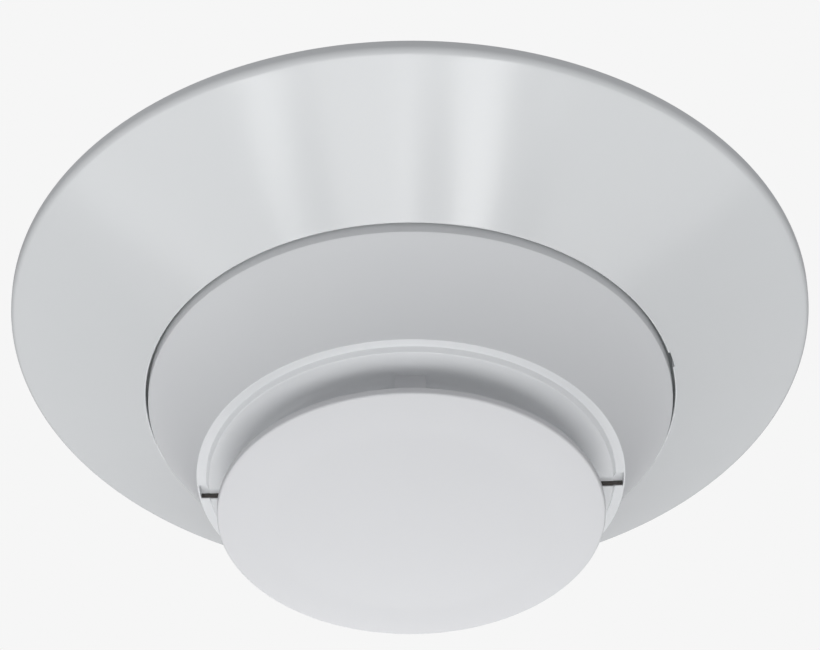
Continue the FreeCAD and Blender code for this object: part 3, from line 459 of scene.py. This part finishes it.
dipped_epoxy = speckled("dipped_epoxy", "2a1d16", "35261c", 0.6, 0.2, IOR=1.55)
smoked_acrylic = speckled("smoked_acrylic", "4b4643", "433f3c", 0.8, 0.18, IOR=1.49)
diode_resin = speckled("cast_diode_resin", "e6e2d8", "ddd8cc", 0.5, 0.15, IOR=1.5)
drawn_glass = speckled("drawn_green_glass", "cfe3d6", "c6dccd", 1.5, 0.05, 0.002, IOR=1.52,
                       **{"Transmission Weight": 0.8})
ferrite = speckled("sintered_ferrite", "3a3a3c", "2e2e30", 0.15, 0.6, 0.02, IOR=1.7)
ceramic = speckled("fired_ceramic", "8c7355", "7c6549", 0.2, 0.45, IOR=1.6)
paper = speckled("coated_label_paper", "eeeeea", "e8e8e3", 0.1, 0.5, 0.005, IOR=1.5)
print("materials so far:", len(bpy.data.materials))

# %% [markdown]
# ## Putting pieces on bodies
#
# Every piece that is made here stands for one CAD node and rides on that node's body, so it turns with
# the head or slides with a terminal clamp. The CAD node itself is hidden, and stays for the physics.

# %% Dress a piece
node_body = {node: body for body, nodes in frame["record"]["behaviour"]["bodies"].items()
             for node in nodes}

def dress(piece, node, material):
    """Gives a piece its finish, and sets it on the body of the CAD node that it stands for."""
    piece.data.materials.clear()
    piece.data.materials.append(material)
    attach(piece, node_body[node])
    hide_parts(node)
    return piece

print("head carries", sum(body == "head" for body in node_body.values()), "nodes")

# %% [markdown]
# ## Trim flange
#
# The flange is the wide white cone that hides the edge of the ceiling box. It is moulded thin, with a
# lip round the hole in its middle, twelve ribs on its back that keep it from sagging, and four hooks
# that snap on the base. The shell is turned; ribs and hooks are flat plates that stand on a radius, so
# one helper draws their outline and gives it a width. They reach a little into the wall of the shell,
# so nothing has to be merged.

# %% Flat radial plates
def radial_plate(name, outline, width, angle):
    """A plate in the plane of the axis, from its (radius, depth) outline in millimetres."""
    shape = bmesh.new()
    sides = [[shape.verts.new((r * MM, y * MM, -depth * MM)) for r, depth in outline]
             for y in (-width / 2, width / 2)]
    shape.faces.new(sides[0])
    shape.faces.new(sides[1][::-1])
    for i in range(len(outline)):
        j = (i + 1) % len(outline)
        shape.faces.new((sides[0][i], sides[0][j], sides[1][j], sides[1][i]))
    shape.transform(Matrix.Rotation(math.radians(angle), 4, "Z"))
    return new_piece(name, shape)

def gathered(name, parts):
    """Puts several meshes into one object; they may stand in each other."""
    shape = bmesh.new()
    for part in parts:
        shape.from_mesh(part.data)
        bpy.data.objects.remove(part)
    return new_piece(name, shape)

# %% Flange shell
CONE_SLOPE = (FLANGE_DEPTH - FLANGE_RIM) / (FLANGE_R - LIP_R)
CONE_STRETCH = math.hypot(1, CONE_SLOPE)
BITE = 0.5                 # how far ribs and hooks reach into the wall
HOOK_TOP = 4.0
HOOK_FOOT = 5.8
HOOK_REACH = 49.3
HOOK_WALL = 1.4
HOOK_WIDTH = 10.0
HOOK_ANGLES = (45, 135, 225, 315)
RIB_WALL = 1.2
RIB_HEIGHT = 2.6

def back_face(r, into=0.0):
    """Depth of the flange's back face at a radius; into goes deeper into its wall."""
    along = (FLANGE_R - r) / (FLANGE_R - LIP_R)
    hollow = 4 * FLANGE_HOLLOW * CONE_STRETCH * along * (1 - along)
    return FLANGE_RIM + (FLANGE_R - r) * CONE_SLOPE - hollow - FLANGE_WALL * CONE_STRETCH + into

lip_back = LIP_R + FLANGE_LIP_WALL
lip_top = FLANGE_DEPTH - FLANGE_LIP_HEIGHT
rim_back = FLANGE_R - FLANGE_WALL
flange = turned("flange_shell", section([
    (FLANGE_R, 0), (FLANGE_R, FLANGE_RIM, FLANGE_RIM_ROUND, FLANGE_HOLLOW),
    (LIP_R, FLANGE_DEPTH, FLANGE_LIP_ROUND), (LIP_R, lip_top, 0.2), (lip_back, lip_top, 0.2),
    (lip_back, back_face(lip_back), 0, -FLANGE_HOLLOW), (rim_back, back_face(rim_back)),
    (rim_back, 0, 0.2)]))
notch = box_piece("notch", (LIP_R - 1, LIP_R + NOTCH_CUT), (-NOTCH_WIDTH / 2, NOTCH_WIDTH / 2),
                  (lip_top - 1, FLANGE_DEPTH + 1), NOTCH_ANGLE)
boolean(flange, [notch], "DIFFERENCE")
print("flange shell faces", len(flange.data.polygons))

# %% Flange ribs and hooks
rib_in, rib_out = lip_back - BITE, rim_back + BITE
rib_line = [(rib_in, back_face(rib_in, BITE)), (rib_out, back_face(rib_out, BITE)),
            (rib_out, back_face(rib_out, -BITE)), (rib_in, back_face(rib_in, -RIB_HEIGHT))]
hook_line = [(LIP_R, lip_top + BITE), (LIP_R, HOOK_FOOT), (HOOK_REACH, HOOK_FOOT),
             (HOOK_REACH, HOOK_TOP + 0.8), (LIP_R, HOOK_TOP), (LIP_R + HOOK_WALL, HOOK_TOP),
             (LIP_R + HOOK_WALL, lip_top + BITE)]
ribs = [radial_plate("rib", rib_line, RIB_WALL, i * 360 / FLANGE_RIBS) for i in range(FLANGE_RIBS)]
hooks = [radial_plate("hook", hook_line, HOOK_WIDTH, angle) for angle in HOOK_ANGLES]
flange = finish_mesh(gathered("flange_shell", [flange] + ribs + hooks))
dress(flange, "trim_flange", polished_abs)
print("flange", len(ribs), "ribs", len(hooks), "hooks")

# %% [markdown]
# ## Head cover
#
# The cover is the round shell that a hand twists on and off. Its flare is slightly hollow and ends in a
# flat band. Inside the band the floor of the air inlet steps down, and a low curb stands round the
# sensing chamber. Two slots in the band let the indicator lamps show. The slots are cut after turning,
# with a backing block behind each so that the cut never breaks through.

# %% Turn the cover
TOWER_HOLE_R = 3.5
INNER_FLOOR = FLOOR_DEPTH - FLOOR_WALL
COVER_BORE = HEAD_R - COVER_WALL
HEAD_EDGE_ROUND = 0.35

cover = turned("cover_shell", section([
    (HEAD_R, -HEAD_TOP, 0.2), (HEAD_R, HEAD_RIM_FOOT, HEAD_EDGE_ROUND, FLARE_HOLLOW),
    (BAND_R, BAND_DEPTH, 0.15), (BAND_R - BAND_WIDTH, BAND_DEPTH, 0.1), (FLOOR_R, FLOOR_DEPTH, 0.3),
    (CURB_R, FLOOR_DEPTH, CURB_FILLET), (CURB_R, -CURB_FOOT, 0.2), (CURB_R - CURB_WALL, -CURB_FOOT, 0.2),
    (CURB_R - CURB_WALL, FLOOR_DEPTH, 0.3), (TOWER_HOLE_R, FLOOR_DEPTH, 0.2),
    (TOWER_HOLE_R, INNER_FLOOR), (FLOOR_R - FLOOR_WALL, INNER_FLOOR),
    (BAND_R - COVER_WALL, BAND_DEPTH - COVER_WALL, 0, -FLARE_HOLLOW), (COVER_BORE, HEAD_RIM_FOOT + 0.3),
    (COVER_BORE, -HEAD_TOP, 0.2)]))
print("cover faces", len(cover.data.polygons))

# %% Cut the indicator slots
SLOT_TURN = -2.25
slot_far = SLOT_SIDE + SLOT_WIDTH
slot_roof = BAND_DEPTH - SLOT_CUT

def on_both_sides(name, x, y, depth):
    """A block on the right and its copy on the left, both turned by the slots' angle."""
    return [box_piece(name, x, y, depth, SLOT_TURN),
            box_piece(name, (-x[1], -x[0]), y, depth, SLOT_TURN)]

boolean(cover, on_both_sides("backing", (SLOT_START - 1.5, FLOOR_R), (SLOT_SIDE - 1.5, slot_far + 2),
                             (slot_roof - 1.5, FLOOR_DEPTH - 0.5)), "UNION")
boolean(cover, on_both_sides("groove", (SLOT_START, FLOOR_R + 0.01), (SLOT_SIDE, slot_far - SLOT_STEP),
                             (FLOOR_DEPTH - SLOT_CUT, FLOOR_DEPTH + 1)), "DIFFERENCE")
ends = section([(0, slot_roof - 1), (BAND_R - SLOT_END_WALL, slot_roof - 1),
                (BAND_R - SLOT_END_WALL, FLOOR_DEPTH + 2), (0, FLOOR_DEPTH + 2)])
outer = [boolean(cut, [turned("round_end", ends)], "INTERSECT")
         for cut in on_both_sides("outer_groove", (FLOOR_R, BAND_R), (SLOT_SIDE, slot_far),
                                  (slot_roof, FLOOR_DEPTH + 1))]
boolean(cover, outer, "DIFFERENCE")
dress(finish_mesh(cover), "head_cover", glossy_abs)
print("cover with slots", len(cover.data.polygons))

# %% [markdown]
# ## Cap
#
# The cap is a shallow dome with a faint crease near its edge. It hangs on four thin pillars over the
# chamber, so air can reach the thermistor from every side while fingers cannot. Its dome is part of a
# ball, so its arc is worked out from its radius and its drop.

# %% Turn the cap
CAP_EDGE_ROUND = 0.45
CAP_RIM_CROWN = 0.14
shoulder = -CAP_FOOT - CAP_DOME
ball = (CAP_SHOULDER_R ** 2 + CAP_DOME ** 2) / (2 * CAP_DOME)
crown = ball - math.sqrt(ball ** 2 - (CAP_SHOULDER_R ** 2 + CAP_DOME ** 2) / 4)
cap = turned("cap_shell", section([
    (0, shoulder + CAP_DOME - CAP_WALL, 0, crown), (CAP_SHOULDER_R, shoulder - CAP_WALL),
    (CAP_SHOULDER_R, CAP_BACK), (CAP_R, CAP_BACK, 0.2),
    (CAP_R, CAP_FACE, CAP_EDGE_ROUND, -CAP_RIM_CROWN),
    (CAP_SHOULDER_R, shoulder, 0, -crown), (0, shoulder + CAP_DOME)]))
pillar_r = CURB_R - PILLAR_INSET
pillars = [box_piece("pillar", (pillar_r, pillar_r + PILLAR_WALL), (-PILLAR_WIDTH / 2, PILLAR_WIDTH / 2),
                     (FLOOR_DEPTH - PILLAR_INSET, CAP_BACK + 0.2), i * 360 / PILLARS)
           for i in range(PILLARS)]
cap = finish_mesh(gathered("cap_shell", [cap] + pillars))
dress(cap, "cap_disc", satin_abs)
print("cap on", len(pillars), "pillars, ball radius", round(ball, 1))

# %% [markdown]
# ## Pieces from the CAD model
#
# The pieces behind the shells have their true shape in the CAD model already, but its edges are knife
# sharp, and no moulded or pressed edge is. So each is copied, its flat faces are merged back from
# triangles, and a small bevel rounds what is sharper than a set angle. The bevel catches the light
# along every edge, which is most of what makes a small part look real.

# %% Copy and soften
FLAT = math.radians(0.4)
BEVEL_FROM = math.radians(35)

def softened(node, width, material):
    """A copy of a CAD piece with its edges rounded by a width in millimetres."""
    shape = bmesh.new()
    shape.from_mesh(frame["nodes"][node].data)
    bmesh.ops.remove_doubles(shape, verts=shape.verts, dist=0.002 * MM)
    bmesh.ops.dissolve_limit(shape, angle_limit=FLAT, verts=shape.verts, edges=shape.edges)
    piece = new_piece(node + "_finished", shape)
    change = piece.modifiers.new("round", "BEVEL")
    change.width = width * MM
    change.segments = 2
    change.limit_method = "ANGLE"
    change.angle_limit = BEVEL_FROM
    bake(piece)
    return dress(finish_mesh(piece), node, material)

# %% Base, housing and metalwork
softened("mounting_base", 0.2, eroded_abs)
softened("back_housing", 0.15, white_pc)
softened("tamper_lever", 0.2, eroded_abs)
softened("thermal_cage", 0.12, satin_abs)
for i in range(1, 5):
    softened(f"contact_spring_{i}", 0.08, bronze)
    softened(f"contact_blade_{i}", 0.1, bronze)
    softened(f"terminal_clamp_{i}", 0.1, zinc)
    softened(f"terminal_screw_{i}", 0.1, zinc)

# %% Switches, dials and lamps
for side in ("tens", "ones"):
    softened(f"{side}_switch_body", 0.1, black_pbt)
    softened(f"{side}_dial", 0.06, ivory_pom)
for side in ("left", "right"):
    softened(f"light_pipe_{side}", 0.05, smoked_acrylic)

# %% [markdown]
# The rest sits inside the closed head, where only a cut-away would show it. Those nodes keep their CAD
# shape and just take their finish.

# %% Finish the pieces inside
inside = {
    "circuit_board": solder_mask, "board_screws": zinc, "thermistor_tower": white_pc,
    "thermistor_bead": dipped_epoxy, "thermistor_leads": tinned, "indicator_led_left": diode_resin,
    "indicator_led_right": diode_resin, "address_label": paper, "microcontroller": mould_resin,
    "surge_suppressor": mould_resin, "reed_switch": drawn_glass, "reed_switch_leads": tinned,
    "capacitors": drawn_can, "crystal": drawn_can, "choke": ferrite, "chip_parts": ceramic}
for node, material in inside.items():
    piece = frame["nodes"][node]
    for mesh_slot in piece.material_slots:
        mesh_slot.material = material
print("finished inside:", len(inside), "nodes")

# %% [markdown]
# ## Studio
#
# The detector hangs with its face down, so the light comes mostly from below, as from a bright room.
# Three narrow lamps make the long highlights on the flange, and a card spans the space between them.
# Wide cards fill in from below, from both sides and from behind, and one above lights the back. The sky
# around is an even grey. Camera rays see a much paler sky than the one that lights the detector, and
# most of what they see of the floor is an even pale tone, which leaves it a little darker than the sky.

# %% Floor
FLOOR_DROP = 2.4
FLOOR_SIZE = 60.0
FLOOR_SEEN = "f2f2f1"
FLOOR_GLOW = 0.85          # share of the even pale tone in what the camera sees

def paler_to_camera(material, colour, share):
    """Mixes an even tone into what camera rays see, which keeps the floor pale in views from above."""
    tree = material.node_tree
    end = next(node for node in tree.nodes if node.type == "OUTPUT_MATERIAL")
    painted = end.inputs["Surface"].links[0].from_socket
    even = add(tree, "ShaderNodeEmission", {"Color": linear(colour)})
    who = add(tree, "ShaderNodeLightPath").outputs["Is Camera Ray"]
    part = add(tree, "ShaderNodeMath", {0: who, 1: share}, operation="MULTIPLY")
    both = add(tree, "ShaderNodeMixShader", {0: part.outputs[0], 1: painted, 2: even.outputs[0]})
    tree.links.new(both.outputs[0], end.inputs["Surface"])

floor_shape = bmesh.new()
bmesh.ops.create_grid(floor_shape, x_segments=8, y_segments=8, size=FLOOR_SIZE / 2)
floor = new_piece("floor", floor_shape)
floor.location.z = -FLOOR_DROP
floor_paint = speckled("pale_painted_floor", "f0f0ef", "ececeb", 40, 0.7, 0.1, IOR=1.45)
paler_to_camera(floor_paint, FLOOR_SEEN, FLOOR_GLOW)
floor.data.materials.append(floor_paint)
print("floor", FLOOR_SIZE, "m across,", FLOOR_DROP, "m down")

# %% Lamps
def soft_box(name, direction, distance, width, length, strength):
    """An area lamp that faces the detector; its length points away from straight below."""
    data = bpy.data.lights.new(name, "AREA")
    data.shape = "RECTANGLE"
    data.size = width
    data.size_y = length
    data.energy = strength
    lamp = bpy.data.objects.new(name, data)
    bpy.context.scene.collection.objects.link(lamp)
    aim = Vector(direction).normalized()
    lamp.location = aim * distance
    lamp.rotation_euler = (-aim).to_track_quat("-Z", "Y").to_euler()
    lamp.visible_camera = False
    return lamp

LAMPS = {
    # name: (direction from the detector, distance, width, length, strength)
    "streak_left": ((-0.40, -0.25, -0.88), 1.3, 0.15, 0.44, 0.65),
    "streak_right": ((0.225, -0.35, -0.91), 1.3, 0.2, 0.44, 1.25),
    "streak_middle": ((-0.01, -0.37, -0.93), 1.3, 0.05, 0.44, 0.15),
    "card_between": ((-0.11, -0.36, -0.93), 1.3, 0.44, 0.44, 1.2),
    "card_below": ((0, -0.3, -0.95), 1.6, 1.5, 1.5, 4.7),
    "card_low_left": ((-0.6, 0, -0.8), 1.6, 0.9, 0.9, 3.4),
    "card_low_right": ((0.6, 0, -0.8), 1.6, 0.9, 0.9, 2.9),
    "card_back": ((0, 0.94, -0.33), 1.6, 1.2, 1.2, 8.4),
    "card_left": ((-0.9, 0, -0.4), 1.6, 1.2, 1.2, 1.2),
    "card_above": ((0, 0.2, 0.98), 2.0, 1.6, 1.6, 12.0),
}
for lamp_name, settings in LAMPS.items():
    soft_box(lamp_name, *settings)

# %% Sky
SKY_LIGHT = "b3b3b6"
SKY_SEEN = "f6f6f6"
SKY_STRENGTH = 0.715
world = bpy.data.worlds.new("studio")
world.use_nodes = True
sky = world.node_tree
sky.nodes.clear()
lit = add(sky, "ShaderNodeBackground", {"Color": linear(SKY_LIGHT), "Strength": SKY_STRENGTH})
seen = add(sky, "ShaderNodeBackground", {"Color": linear(SKY_SEEN)})
who = add(sky, "ShaderNodeLightPath").outputs["Is Camera Ray"]
both = add(sky, "ShaderNodeMixShader", {0: who, 1: lit.outputs[0], 2: seen.outputs[0]})
add(sky, "ShaderNodeOutputWorld", {"Surface": both.outputs[0]})
bpy.context.scene.world = world
bpy.context.scene.view_settings.view_transform = "Standard"
